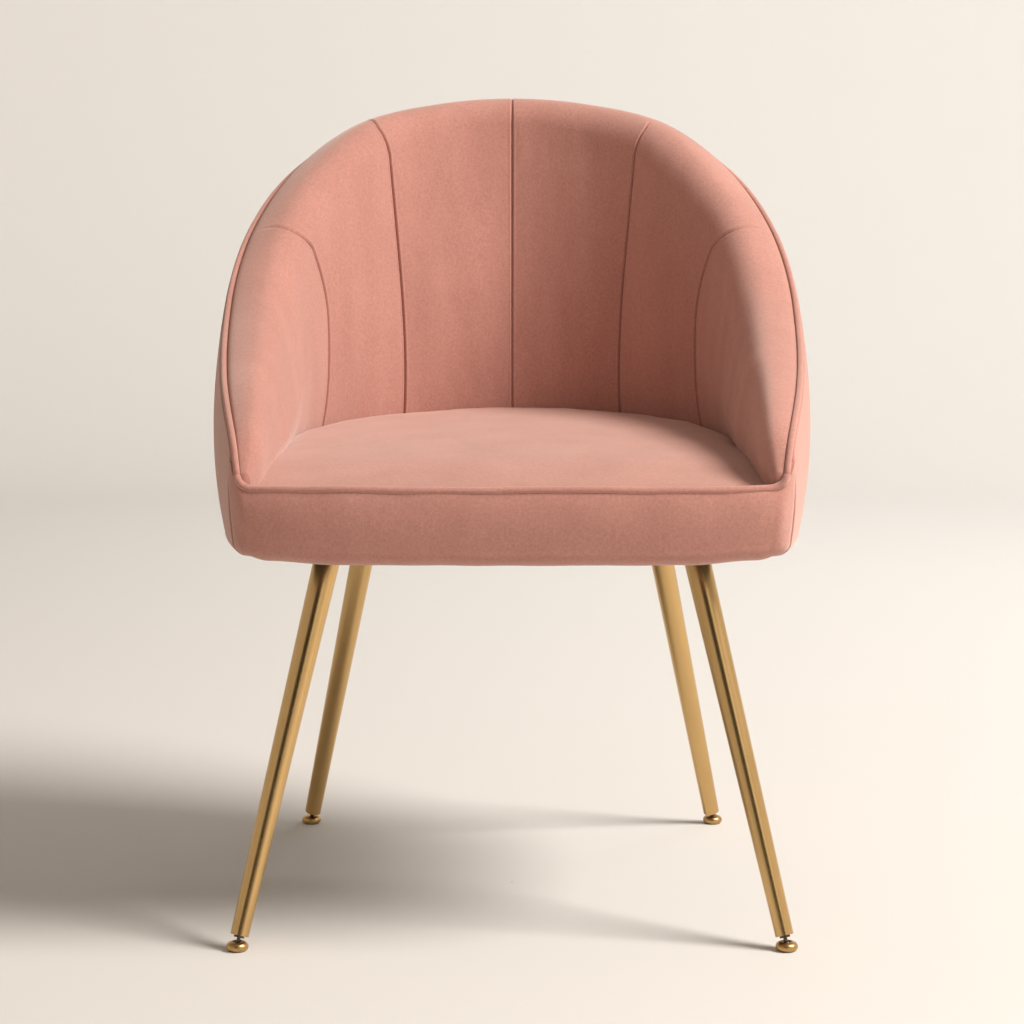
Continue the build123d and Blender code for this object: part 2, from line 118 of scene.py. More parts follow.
def seat_edge(angle):
    """Where the cushion meets the back padding, x and y from PLAN_Y."""
    turn = np.radians(angle)
    _, y = rim_plan(angle)
    rear = np.abs(angle) <= 90
    side = np.sign(turn) * (SEAT_EDGE_HALF_WIDTH + 0.08 * np.maximum(0, -y))
    x = np.where(rear, SEAT_EDGE_HALF_WIDTH * np.sin(turn), side)
    return x, np.where(rear, SEAT_EDGE_REAR * np.cos(turn), y)


def seat_edge_height(y):
    """Height of that junction at y from PLAN_Y."""
    return SEAT_EDGE_Z + 0.030 * y + 0.14 * np.maximum(0, y) ** 2 + 0.02 * np.minimum(0, y)


# Mesh helpers

def smooth_step(t):
    """0 to 1 with a soft start and end, and flat outside that range."""
    t = np.clip(t, 0, 1)
    return t * t * (3 - 2 * t)


def bunched(count):
    """0 to 1, close together at both ends."""
    return (1 - np.cos(np.linspace(0, math.pi, count))) / 2


def new_object(name, vertices, faces):
    mesh = bpy.data.meshes.new(name)
    mesh.from_pydata([tuple(map(float, v)) for v in vertices], [], faces)
    mesh.validate()
    mesh.update()
    obj = bpy.data.objects.new(name, mesh)
    bpy.context.scene.collection.objects.link(obj)
    mesh.polygons.foreach_set("use_smooth", [True] * len(mesh.polygons))
    return obj


def grid_faces(rows, columns, wrap_rows=False, wrap_columns=False, start=0):
    """Quads between the points of a grid whose first point has the number start."""
    faces = []
    for i in range(rows if wrap_rows else rows - 1):
        for j in range(columns if wrap_columns else columns - 1):
            a, b = i % rows * columns, (i + 1) % rows * columns
            c, d = j % columns, (j + 1) % columns
            faces.append((start + a + c, start + b + c, start + b + d, start + a + d))
    return faces


def grid_object(name, points, wrap_rows=False, wrap_columns=False):
    rows, columns = points.shape[:2]
    return new_object(name, points.reshape(-1, 3), grid_faces(rows, columns, wrap_rows, wrap_columns))


def closed_tube(name, path, radius, sides=14):
    """A round tube along points, with blunt cones at its ends."""
    path = np.asarray(path)
    along = np.gradient(path, axis=0)
    along /= np.linalg.norm(along, axis=1)[:, None]
    up = np.array([0, 0, 1.0])
    across = np.cross(along, up)
    across /= np.linalg.norm(across, axis=1)[:, None]
    over = np.cross(across, along)
    turns = np.linspace(0, 2 * math.pi, sides, endpoint=False)
    radii = np.broadcast_to(radius, len(path)).copy()
    spokes = (np.cos(turns)[None, :, None] * across[:, None]
              + np.sin(turns)[None, :, None] * over[:, None])
    rings = path[:, None] + radii[:, None, None] * spokes
    count = len(path)
    first_tip = path[:1] - along[:1] * radii[0] * 0.6
    last_tip = path[-1:] + along[-1:] * radii[-1] * 0.6
    vertices = np.vstack([rings.reshape(-1, 3), first_tip, last_tip])
    faces = grid_faces(count, sides, wrap_columns=True)
    first, last = count * sides, count * sides + 1
    for j in range(sides):
        k = (j + 1) % sides
        faces.append((first, j, k))
        faces.append((last, (count - 1) * sides + k, (count - 1) * sides + j))
    return new_object(name, vertices, faces)


def slab_object(name, top, bottom):
    """A closed form between two grids of the same size."""
    rows, columns = top.shape[:2]
    size = rows * columns
    faces = grid_faces(rows, columns)
    faces += [tuple(reversed(face)) for face in grid_faces(rows, columns, start=size)]
    edge = list(range(columns)) + [i * columns + columns - 1 for i in range(1, rows)]
    edge += [(rows - 1) * columns + j for j in range(columns - 2, -1, -1)]
    edge += [i * columns for i in range(rows - 2, 0, -1)]
    for a, b in zip(edge, edge[1:] + edge[:1]):
        faces.append((a, b, b + size, a + size))
    return new_object(name, np.vstack([top.reshape(-1, 3), bottom.reshape(-1, 3)]), faces)


def waves(points, scale, seed):
    """A smooth seeded noise made of sines, about -1 to 1."""
    rng = np.random.default_rng(seed)
    total = np.zeros(points.shape[:-1])
    for _ in range(14):
        direction = rng.normal(size=3)
        direction *= (0.6 + 0.9 * rng.random()) * 2 * math.pi / scale / max(1e-9, np.linalg.norm(direction))
        total += np.sin(points @ direction + rng.random() * 2 * math.pi)
    return total / 5


# Back channels

def seam_angle(index, height):
    """Angle of a seam at a height, 0 at the seat and 1 where the roll starts.

    Seam 0 is the middle of the back and seam 3 the arm's front edge.
    """
    height = np.maximum(height, 0)
    if index == 1:
        return 30.4 + 4.3 * np.minimum(height, 1.28) ** 1.5
    if index == 2:
        return 60.8 + 12.5 * smooth_step((height - 0.55) / 0.9)
    return np.full_like(height, FRONT_ANGLE if index == 3 else 0)


def channel_profile(angle, height, puff):
    """Point of the padding, pushed out by puff.

    Height is 0 at the seat, 1 where the roll starts, 1.5 on top of it and 2 behind it at the welt.
    """
    x, y = rim_plan(angle)
    nx, ny = outward(angle)
    sx, sy = seat_edge(angle)
    top = rim_height(y)
    bottom = seat_edge_height(sy) - 0.012
    tall = np.maximum(top - bottom, 0.001)
    bottom = bottom - 0.014 * smooth_step((np.abs(angle) - 103) / 12)
    size = np.clip(tall / 0.10, 0.05, 1)
    # Roll over the rim: rise above the rim, radius in plan, and height. It grows towards the arms.
    arm = smooth_step((np.abs(angle) - 8) / 42)
    tip = smooth_step((np.abs(angle) - 85) / 20)
    rise = (0.0038 + 0.0068 * smooth_step((np.abs(angle) - 18) / 26)) * size
    roll = (0.0185 + 0.0085 * arm - 0.0035 * tip) * size
    roll_tall = np.minimum(0.025 + 0.019 * arm, 0.45 * tall)
    # Inner face, from the seat to the front of the roll
    t = np.clip(height, 0, 1)
    roll_x, roll_y = x - nx * (RIM_GAP + 2 * roll), y - ny * (RIM_GAP + 2 * roll)
    roll_z = top + rise - roll_tall
    ease = 1 - (1 - t) ** 1.5
    base_x, base_y = sx + nx * BASE_ROOM, sy + ny * BASE_ROOM
    face_x = base_x + (roll_x - base_x) * ease
    face_y = base_y + (roll_y - base_y) * ease
    face_z = bottom + (roll_z - bottom) * t
    lift = 0.008 * size * 6.75 * t * (1 - t) ** 2
    # Roll, half a turn over the rim
    turn = np.clip(height - 1, 0, 1) * math.pi
    over = height > 1
    cx, cy = x - nx * (RIM_GAP + roll), y - ny * (RIM_GAP + roll)
    px = np.where(over, cx - nx * roll * np.cos(turn), face_x - nx * lift)
    py = np.where(over, cy - ny * roll * np.cos(turn), face_y - ny * lift)
    behind = roll_z + roll_tall - (rise + 0.001 * size) * (1 - np.sin(turn))
    pz = np.where(over, np.where(turn > math.pi / 2, behind, roll_z + roll_tall * np.sin(turn)), face_z)
    inward = np.where(over, np.cos(turn), 1.0)
    upward = np.where(over, np.sin(turn), 0.15)
    px = px - nx * puff * inward * size
    py = py - ny * puff * inward * size
    pz = pz + puff * upward * size
    return np.stack([px, PLAN_Y + py, pz], -1)


# How far a channel's middle stands out, and how deep its seams lie, by height in channel_profile
CROWN_HEIGHTS = [0.0, 0.45, 0.85, 1.0, 1.25, 1.5]
CROWN_PUFF = [0.0015, 0.0055, 0.0040, 0.0020, 0.0006, 0.0]
SEAM_HEIGHTS = [0.0, 0.85, 1.0, 1.4, 1.7]
SEAM_DEPTH = [0.0026, 0.0028, 0.0025, 0.0020, 0.0]


def make_channel(name, first, second, side, seed):
    """One padded channel between two seams, closed behind."""
    across = bunched(61)
    heights = np.r_[np.linspace(-0.08, 0.96, 90), np.linspace(1.0, 2.0, 26)]
    t, h = np.meshgrid(across, heights)
    low, high = seam_angle(first, h), seam_angle(second, h)
    angle = low + (high - low) * t
    off_middle = np.abs(2 * t - 1)
    width = np.radians(high - low) * 0.25
    from_seam = (1 - off_middle) / 2 * width
    ridge = np.exp(-((from_seam - RIDGE_PLACE) / RIDGE_WIDTH) ** 2)
    groove = 1 - np.exp(-from_seam / STITCH_WIDTH) + RIDGE_SHARE * ridge
    # The arm channel stays full up to its front edge
    crown = np.where((second == 3) & (t > 0.5), 1 - off_middle**4.0, 1 - off_middle**2.2)
    puff = (np.interp(h, CROWN_HEIGHTS, CROWN_PUFF) * crown
            + np.interp(h, SEAM_HEIGHTS, SEAM_DEPTH) * groove)
    points = channel_profile(angle, h, puff)
    # Shallow upright creases, none at the seams and on the roll
    wrinkle = (waves(points * (1, 1, 0.16), 0.045, seed) * 0.0008
               + waves(points * (1, 1, 0.45), 0.022, seed + 7) * 0.00018)
    fade = np.sin(math.pi * t) ** 0.6 * np.clip((1.45 - h) / 0.6, 0, 1)
    nx, ny = outward(angle)
    points[..., 0] -= nx * wrinkle * fade
    points[..., 1] -= ny * wrinkle * fade
    points[..., 0] *= side
    # Back wall, inside the outer cover: closer to it at the arm's tip
    back_x, back_y = rim_plan(angle)
    inset = SHELL_ROOM - 0.014 * smooth_step((np.abs(angle) - 98) / 15)
    rim_z = rim_height(back_y)
    z = points[..., 2]
    drop = np.clip((rim_z - z) / (rim_z - UNDERSIDE_Z), 0, 1)
    out = bulge(angle, drop) - inset
    back_z = np.minimum(z, rim_z - 0.004)
    back = np.stack([side * (back_x + nx * out), PLAN_Y + back_y + ny * out, back_z], -1)
    back = back[heights <= 1.0][::-4][:-1]
    obj = grid_object(name, np.concatenate([points, back], 0), wrap_rows=True)
    fill_ends(obj)
    return obj


def fill_ends(obj):
    """Closes the open ends of a mesh and turns its faces outward."""
    mesh = bmesh.new()
    mesh.from_mesh(obj.data)
    bmesh.ops.remove_doubles(mesh, verts=mesh.verts, dist=0.00002)
    edges = [edge for edge in mesh.edges if edge.is_boundary]
    bmesh.ops.holes_fill(mesh, edges=edges, sides=0)
    caps = [face for face in mesh.faces if len(face.verts) > 4]
    bmesh.ops.triangulate(mesh, faces=caps)
    bmesh.ops.recalc_face_normals(mesh, faces=mesh.faces)
    mesh.to_mesh(obj.data)
    mesh.free()


# Outer cover: from the rim to the underside, round the front corner, and under the frame

CORNER_RADIUS = 0.021
CORNER_Y = -0.236
CORNER_ANGLE = 90 + math.degrees(math.asin(-CORNER_Y / FRONT_LENGTH))
CORNER_TURN = [math.radians(6.7), math.radians(76.5)]
LOWER_EDGE_RADIUS = 0.014
# Of the rows under the frame, this share turns round the lower edge and the rest lies flat
TURN_SHARE = 0.6


def lower_edge(angle):
    """Height of the underside, a little higher towards the front corners."""
    return UNDERSIDE_Z + 0.0067 * np.clip((np.abs(angle) - 95) / 20, 0, 1)


def cover_grid(angles, inset=0.0):
    """Rows from the rim down, over the lower edge and under the frame."""
    wall_rows, under_rows, wall_depth, tucked = 50, 12, 0.93, 0.020
    depth = np.r_[np.linspace(0, wall_depth, wall_rows), np.ones(under_rows)]
    under = np.r_[np.zeros(wall_rows), np.linspace(0, 1, under_rows)]
    a, d = np.meshgrid(angles, depth)
    _, u = np.meshgrid(angles, under)
    x, y = rim_plan(a)
    nx, ny = outward(a)
    top = rim_height(y) - COVER_DROP
    low_z = lower_edge(a)
    radius = LOWER_EDGE_RADIUS
    z = top + (low_z + radius - top) * np.minimum(d / wall_depth, 1)
    reach = np.clip((rim_height(y) - z) / (rim_height(y) - UNDERSIDE_Z), 0, 1)
    out = bulge(a, reach) - inset
    turn = np.clip(u / TURN_SHARE, 0, 1) * math.pi / 2
    flat = np.clip((u - TURN_SHARE) / (1 - TURN_SHARE), 0, 1) * tucked
    out = out - radius * (1 - np.cos(turn)) - flat
    z = np.where(u > 0, low_z + radius * (1 - np.sin(turn)), z) + inset * 0.7
    return np.stack([x + nx * out, PLAN_Y + y + ny * out, z], -1)


def make_cover(name, start, end, count):
    """One panel of the outer cover between two angles."""
    angles = np.linspace(start, end, count)
    outer = cover_grid(angles)
    inner = cover_grid(angles, COVER_THICKNESS)
    points = np.concatenate([outer, inner[::-1]], 0)
    obj = grid_object(name, points, wrap_rows=True)
    fill_ends(obj)
    return obj


# Seat cushion

def front_y(x):
    """Front face in plan, from PLAN_Y."""
    across = np.minimum(np.abs(x / FRONT_HALF_WIDTH), 1)
    return FRONT_EDGE_Y - FRONT_BOW * (0.6 * (1 - across**2) + 0.4 * (1 - across**8))


def cushion_top(x, y, half):
    """Height of the cushion's top at x and y from PLAN_Y, where half is its half width there."""
    middle, reach, crown = -0.02, 0.235, 0.013
    along = np.clip(1 - ((y - middle) / reach) ** 2, 0, 1)
    return seat_edge_height(y) + crown * along * (1 - np.abs(x / half) ** 2.4)


def cushion_form():
    """The cushion before it is filled: rows from the front edge to the back, tucked under the channels."""
    rows, columns = 110, 90
    sideways = np.linspace(-1, 1, columns)
    sideways = np.sign(sideways) * (1 - (1 - np.abs(sideways)) ** 1.35)
    back, across = np.meshgrid(bunched(rows), sideways, indexing="ij")
    edge_x, edge_y = seat_edge(FRONT_ANGLE * (1 - back))
    x = across * np.maximum(edge_x + CUSHION_TUCK, 0.012)
    y_front = front_y(np.clip(x, -FRONT_HALF_WIDTH, FRONT_HALF_WIDTH)) + 0.006
    share = (edge_y - FRONT_EDGE_Y) / (SEAT_EDGE_REAR - FRONT_EDGE_Y)
    y = y_front + (SEAT_EDGE_REAR + CUSHION_TUCK - y_front) * share
    z = cushion_top(x, y, np.maximum(edge_x, 0.01))
    # The cover is pulled down along the sides and the back, least at the front
    from_side = (1 - np.abs(across)) * np.maximum(edge_x, 0.02)
    dip = 0.0115 * smooth_step((back - 0.04) / 0.32) - 0.0015
    z -= dip * (1 - np.clip(from_side / 0.026, 0, 1)) ** 2
    # Wide front roll, and the turn into the welt
    for drop, width in [(0.0080, 0.110), (0.0020, 0.022)]:
        z -= drop * (1 - np.clip((y - y_front) / width, 0, 1)) ** 2.0
    top = np.stack([x, PLAN_Y + y, z - 0.002], -1)
    bottom = top.copy()
    bottom[..., 2] = CUSHION_BASE_Z
    bottom[..., 0] *= 0.985
    return slab_object("seat_cushion", top, bottom)


def apply_modifiers(obj):
    """Replaces the mesh by what its modifiers make of it."""
    depsgraph = bpy.context.evaluated_depsgraph_get()
    mesh = bpy.data.meshes.new_from_object(obj.evaluated_get(depsgraph))
    obj.modifiers.clear()
    obj.data = mesh
    mesh.polygons.foreach_set("use_smooth", [True] * len(mesh.polygons))


def mesh_points(mesh):
    """The mesh's points as rows of x, y and z."""
    points = np.empty(len(mesh.vertices) * 3, dtype=np.float64)
    mesh.vertices.foreach_get("co", points)
    return points.reshape(-1, 3)


def inflate(obj, pressure, cap, shrink, frames=20):
    """Start and movement of every point when cloth pressure fills a closed form.

    No movement is longer than cap.
    """
    start = mesh_points(obj.data)
    cloth = obj.modifiers.new("filling", "CLOTH")
    cloth.settings.use_pressure = True
    cloth.settings.uniform_pressure_force = pressure
    cloth.settings.effector_weights.gravity = 0
    cloth.settings.shrink_min = shrink
    cloth.settings.quality = 5
    cloth.collision_settings.use_collision = False
    cloth.point_cache.frame_start = 1
    cloth.point_cache.frame_end = frames
    scene = bpy.context.scene
    for step in range(1, frames + 1):
        scene.frame_set(step)
    moved = mesh_points(obj.evaluated_get(bpy.context.evaluated_depsgraph_get()).data) - start
    obj.modifiers.clear()
    scene.frame_set(1)
    size = np.linalg.norm(moved, axis=1)[:, None]
    moved *= np.minimum(1, cap / np.maximum(size, 1e-9))
    return start, moved


def make_cushion(seed=5):
    """The cushion, filled by cloth pressure. Its front edge and its underside stay in place."""
    obj = cushion_form()
    remesh = obj.modifiers.new("even", "REMESH")
    remesh.mode = "VOXEL"
    remesh.voxel_size = 0.005
    remesh.use_smooth_shade = True
    apply_modifiers(obj)
    start, moved = inflate(obj, pressure=4, cap=0.006, shrink=-0.02)
    keep = smooth_step((start[:, 1] - (PLAN_Y + front_y(start[:, 0]) + 0.004)) / 0.10)
    top = smooth_step((start[:, 2] - 0.420) / 0.010)
    moved[:, 0] *= 0.3
    moved[:, 1] *= 0.3
    place = start + moved * (keep * top)[:, None]
    place[:, 2] += (waves(place, 0.10, seed) * 0.0006 + waves(place, 0.03, seed + 1) * 0.00015) * top
    obj.data.vertices.foreach_set("co", place.ravel())
    smooth = obj.modifiers.new("smooth", "SMOOTH")
    smooth.iterations = 3
    smooth.factor = 0.5
    finer = obj.modifiers.new("finer", "SUBSURF")
    finer.levels = 1
    finer.render_levels = 1
    apply_modifiers(obj)
    return obj


def border_outline(side_x, along):
    """Front face in plan, from PLAN_Y, with a rounded corner that meets the side at side_x.

    along is -1 to 1. Gives x, y, the way out in plan, and the share of the corner that is turned.
    """
    first, last = CORNER_TURN
    straight = side_x - CORNER_RADIUS * (math.sin(last) - math.sin(first))
    reach = np.abs(along) * (straight + CORNER_RADIUS * (last - first))
    turn = np.clip(first + (reach - straight) / CORNER_RADIUS, first, last)
    x = np.minimum(reach, straight) + CORNER_RADIUS * (np.sin(turn) - math.sin(first))
    y = front_y(np.minimum(reach, straight)) + CORNER_RADIUS * (math.cos(first) - np.cos(turn))
    missing = CORNER_Y - front_y(straight) - CORNER_RADIUS * (math.cos(first) - math.cos(last))
    share = (turn - first) / (last - first)
    angle = np.where(share > 0, turn, first * np.minimum(reach / straight, 1))
    return np.sign(along) * x, y + missing * share, np.sign(along) * np.sin(angle), -np.cos(angle), share


def make_border(seed=11):
    """The upright band under the cushion, round both front corners and under the front rail."""
    face_rows, under_rows = 36, 16
    swell, welt_recess, tucked, tuck_centre = 0.0038, 0.0014, 0.026, 0.10
    along = np.linspace(-1, 1, 241)
    radius = LOWER_EDGE_RADIUS
    top_row = WELT_Z - 0.0015
    rim_x, rim_y = rim_plan(CORNER_ANGLE)
    rows = []
    steps = [(t, 0) for t in np.linspace(0, 1, face_rows)]
    steps += [(1, u) for u in np.linspace(0, 1, under_rows)[1:]]
    for t, u in steps:
        rough_z = top_row + (UNDERSIDE_Z + radius - top_row) * t
        depth = np.clip((rim_height(rim_y) - rough_z) / (rim_height(rim_y) - UNDERSIDE_Z), 0, 1)
        x, y, nx, ny, corner = border_outline(rim_x + bulge(CORNER_ANGLE, depth), along)
        low = (UNDERSIDE_Z + 0.0032 * smooth_step((np.abs(x) - 0.16) / 0.06)
               + 0.0035 * smooth_step((np.abs(x) - 0.222) / 0.02))
        top = top_row + (rim_height(rim_y) - COVER_DROP - top_row) * smooth_step(corner) ** 1.5
        z = top + (low + radius - top) * t
        flat = 1 - smooth_step(corner * 1.6)
        belly = swell * math.sin(math.pi * min(1, t * 0.85 + 0.15))
        out = flat * (belly - welt_recess * (1 - t) ** 9)
        edge = min(1, u / TURN_SHARE) * math.pi / 2
        out = out - radius * (1 - math.cos(edge))
        if u > 0:
            z = low + radius * (1 - math.sin(edge))
        x, y = x + nx * out, y + ny * out
        under = max(0, u - TURN_SHARE) / (1 - TURN_SHARE) * tucked
        to_middle = np.hypot(x, y + tuck_centre)
        y = y - under * (y + tuck_centre) / to_middle
        rows.append(np.stack([x * (1 - under / to_middle), PLAN_Y + y, z], -1))
    outer = np.array(rows)
    outer[..., 1] += waves(outer, 0.07, seed) * 0.0005
    outer[..., 2] += waves(outer * (1, 1, 0.3), 0.06, seed + 3) * 0.0003
    inner = outer.copy()
    inner[..., 0] *= 0.975
    inner[..., 1] += 0.006
    inner[face_rows:, :, 2] += 0.004
    obj = grid_object("front_border", np.concatenate([outer, inner[::-1]], 0), wrap_rows=True)
    fill_ends(obj)
    return obj


def rim_welt_path(angles):
    """Middle line of the rim welt. It lies deeper between the cover and the roll at the back."""
    x, y = rim_plan(angles)
    nx, ny = outward(angles)
    inset = RIM_WELT_RADIUS + 0.0004
    sunk = 0.0005 + 0.0035 * (1 - smooth_step((np.abs(angles) - 42) / 22))
    return np.stack([x - nx * inset, PLAN_Y + y - ny * inset, rim_height(y) - sunk], -1)


def bezier(a, b, c, d, count):
    """Points on a cubic from a to d that leaves towards b and arrives from c."""
    t = np.linspace(0, 1, count)[:, None]
    return (1 - t) ** 3 * a + 3 * t * (1 - t) ** 2 * b + 3 * t * t * (1 - t) * c + t**3 * d


def make_seat_welt():
    """Piping along the front edge. Its ends turn up into the rim welt."""
    straight, sunk, leave, arrive = 0.231, 0.0013, 0.010, 0.006
    x = np.linspace(-straight, straight, 180)
    z = WELT_Z + 0.0005 * np.sin(x * 31) + 0.0002 * np.sin(x * 83 + 1)
    middle = np.stack([x, PLAN_Y + front_y(x) + sunk, z], -1)
    end = rim_welt_path(np.array([FRONT_ANGLE]))[0]
    before = rim_welt_path(np.array([FRONT_ANGLE - 1.0]))[0]
    down = (end - before) / np.linalg.norm(end - before)
    start = middle[-1]
    heading = (middle[-1] - middle[-2]) / np.linalg.norm(middle[-1] - middle[-2])
    right = bezier(start, start + heading * leave, end + down * arrive, end, 24)[1:]
    left = right[::-1] * (-1, 1, 1)
    left[:, 2] += middle[0, 2] - middle[-1, 2]
    return closed_tube("seat_welt", np.vstack([left, middle, right]), WELT_RADIUS)


def make_rim_welt():
    path = rim_welt_path(np.linspace(-FRONT_ANGLE, FRONT_ANGLE, 420))
    return closed_tube("rim_welt", path, RIM_WELT_RADIUS)


# Materials

VELVET_TONES = [(0.30, (0.385, 0.170, 0.135)), (0.52, (0.42, 0.190, 0.152)), (0.72, (0.45, 0.207, 0.167))]
VELVET_SPECKS = [(0.32, (0.86, 0.84, 0.84)), (0.68, (1.11, 1.13, 1.13))]


def node_material(name, base, roughness, metallic=0.0):
    material = bpy.data.materials.new(name)
    material.use_nodes = True
    tree = material.node_tree
    shader = tree.nodes["Principled BSDF"]
    shader.inputs["Base Color"].default_value = (*base, 1)
    shader.inputs["Roughness"].default_value = roughness
    shader.inputs["Metallic"].default_value = metallic
    return material, tree, shader


def add(tree, kind, **values):
    """A new node with these properties."""
    node = tree.nodes.new(kind)
    for key, value in values.items():
        setattr(node, key, value)
    return node


def noise(tree, scale, detail=4.0, rough=0.55, stretch=(1, 1, 1)):
    """Noise in the object's own metres."""
    coordinates = add(tree, "ShaderNodeTexCoord")
    mapping = add(tree, "ShaderNodeMapping")
    mapping.inputs["Scale"].default_value = stretch
    texture = add(tree, "ShaderNodeTexNoise")
    texture.inputs["Scale"].default_value = scale
    texture.inputs["Detail"].default_value = detail
    texture.inputs["Roughness"].default_value = rough
    tree.links.new(coordinates.outputs["Object"], mapping.inputs["Vector"])
    tree.links.new(mapping.outputs["Vector"], texture.inputs["Vector"])
    return texture.outputs["Fac"]


def ramp(tree, value, stops):
    """Colour of a value, from stops of place and colour."""
    node = add(tree, "ShaderNodeValToRGB")
    while len(node.color_ramp.elements) < len(stops):
        node.color_ramp.elements.new(0.5)
    for element, (place, colour) in zip(node.color_ramp.elements, stops):
        element.position = place
        element.color = (*colour, 1)
    tree.links.new(value, node.inputs["Fac"])
    return node.outputs["Color"]


def bump(tree, shader, value, strength, distance, previous=None):
    """Relief on a shader, on top of an earlier one where that is given."""
    node = add(tree, "ShaderNodeBump")
    node.inputs["Strength"].default_value = strength
    node.inputs["Distance"].default_value = distance
    tree.links.new(value, node.inputs["Height"])
    if previous is not None:
        tree.links.new(previous, node.inputs["Normal"])
    tree.links.new(node.outputs["Normal"], shader.inputs["Normal"])
    return node.outputs["Normal"]


def velvet(name):
    """Short pile: tones in upright patches, speckled nap and a soft sheen."""
    material, tree, shader = node_material(name, (0.46, 0.19, 0.165), 0.9)
    patch = noise(tree, 16.0, 5.0, 0.6, (1, 1, 0.3))
    nap = noise(tree, 380.0, 4.0, 0.75)
    fine = noise(tree, 900.0, 2.0, 0.6)
    colour = ramp(tree, patch, VELVET_TONES)
    speck = ramp(tree, nap, VELVET_SPECKS)
    mix = add(tree, "ShaderNodeMix", data_type="RGBA", blend_type="MULTIPLY")
    mix.inputs["Factor"].default_value = 1.0
    tree.links.new(colour, mix.inputs[6])
    tree.links.new(speck, mix.inputs[7])
    tree.links.new(mix.outputs[2], shader.inputs["Base Color"])
    shader.inputs["Specular IOR Level"].default_value = 0.15
    shader.inputs["Sheen Weight"].default_value = 0.5
    shader.inputs["Sheen Roughness"].default_value = 0.6
    shader.inputs["Sheen Tint"].default_value = (1.0, 0.85, 0.78, 1)
    first = bump(tree, shader, fine, 0.35, 0.0004)
    bump(tree, shader, noise(tree, 60.0, 4.0, 0.6), 0.25, 0.0008, first)
    return material


def brass(name, base=(0.60, 0.395, 0.17), roughness=0.25):
    """Brushed metal with lines along Z."""
    material, tree, shader = node_material(name, base, roughness, 1.0)
    lines = noise(tree, 260.0, 3.0, 0.6, (1, 1, 0.03))
    blotch = noise(tree, 18.0, 4.0, 0.6)
    dark = tuple(c * 0.95 for c in base)
    light = tuple(min(1, c * 1.04) for c in base)
    tree.links.new(ramp(tree, blotch, [(0.3, dark), (0.7, light)]), shader.inputs["Base Color"])
    rough = add(tree, "ShaderNodeMapRange")
    rough.inputs["To Min"].default_value = roughness - 0.02
    rough.inputs["To Max"].default_value = roughness + 0.03
    tree.links.new(lines, rough.inputs["Value"])
    tree.links.new(rough.outputs["Result"], shader.inputs["Roughness"])
    bump(tree, shader, lines, 0.03, 0.0001)
    return material


def plain(name, base, roughness, metallic=0.0, scale=40.0, spread=0.12, stretch=(1, 1, 1)):
    """A solid colour with some variation, grain and relief."""
    material, tree, shader = node_material(name, base, roughness, metallic)
    value = noise(tree, scale, 5.0, 0.6, stretch)
    dark = tuple(c * (1 - spread) for c in base)
    light = tuple(min(1, c * (1 + spread)) for c in base)
    tree.links.new(ramp(tree, value, [(0.3, dark), (0.7, light)]), shader.inputs["Base Color"])
    bump(tree, shader, value, 0.3, 0.0004)
    return material


def set_material(obj, material):
    obj.data.materials.clear()
    obj.data.materials.append(material)


VELVET = velvet("velvet")
BRASS = brass("brushed_brass")

FEET = ["front_left", "front_right", "rear_left", "rear_right"]
LOOKS = {
    "beech": plain("beech", (0.60, 0.42, 0.26), 0.55, scale=30.0, stretch=(1, 8, 8)),
    "plywood": plain("plywood", (0.62, 0.46, 0.30), 0.6, scale=30.0, stretch=(1, 1, 14)),
    "spring": plain("spring_steel", (0.30, 0.30, 0.31), 0.35, 1.0),
    "screw": plain("screw_steel", (0.62, 0.61, 0.58), 0.3, 1.0),
    "felt": plain("felt", (0.42, 0.41, 0.39), 0.95, scale=300.0, spread=0.3),
    "dust": plain("dust_cloth", (0.020, 0.020, 0.021), 0.9, scale=500.0, spread=0.4),
    "plate": plain("plate_steel", (0.025, 0.025, 0.026), 0.45, scale=120.0, spread=0.3),
    "collar": plain("dark_collar", (0.10, 0.075, 0.05), 0.35, 1.0, scale=200.0),
    "stem": plain("stem_steel", (0.14, 0.11, 0.08), 0.35, 1.0, scale=200.0),
    "sole": plain("nylon", (0.020, 0.016, 0.012), 0.6, scale=300.0, spread=0.3),
    "foot": brass("foot_brass", (0.50, 0.32, 0.13), 0.33),
}
NODE_LOOKS = {
    "front_rail": "beech", "rear_rail": "beech", "side_rail_left": "beech", "side_rail_right": "beech",
    "corner_blocks": "beech", "back_shell": "plywood", "zigzag_springs": "spring", "spring_clips": "spring",
    "frame_screws": "screw", "shell_screws": "screw", "leg_screws": "screw", "dust_cover_staples": "screw",
    "foot_inserts": "stem", "spring_felt": "felt", "dust_cover": "dust",
}
for node, look in NODE_LOOKS.items():
    set_material(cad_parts[node], LOOKS[look])
for foot in FEET:
    set_material(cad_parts[f"leg_{foot}"], BRASS)
    for piece, look in [("leg_plate", "plate"), ("foot_stem", "stem"), ("foot_collar", "collar"),
                        ("foot_pad", "foot"), ("foot_sole", "sole")]:
        set_material(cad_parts[f"{piece}_{foot}"], LOOKS[look])


# Pieces

def place_piece(obj, material, *nodes, slot="velvet"):
    """Gives a piece its material and its body, and hides the nodes it replaces."""
    set_material(obj, material)
    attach(obj, "chair")
    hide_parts(*nodes)
    return obj


for side, word in [(-1, "left"), (1, "right")]:
    for first, second, kind in [(0, 1, "inner"), (1, 2, "outer"), (2, 3, "arm")]:
        channel = make_channel(f"channel_{kind}_{word}", first, second, side, seed=20 + first * 3 + side)
        place_piece(channel, VELVET, f"back_channel_{kind}_{word}")

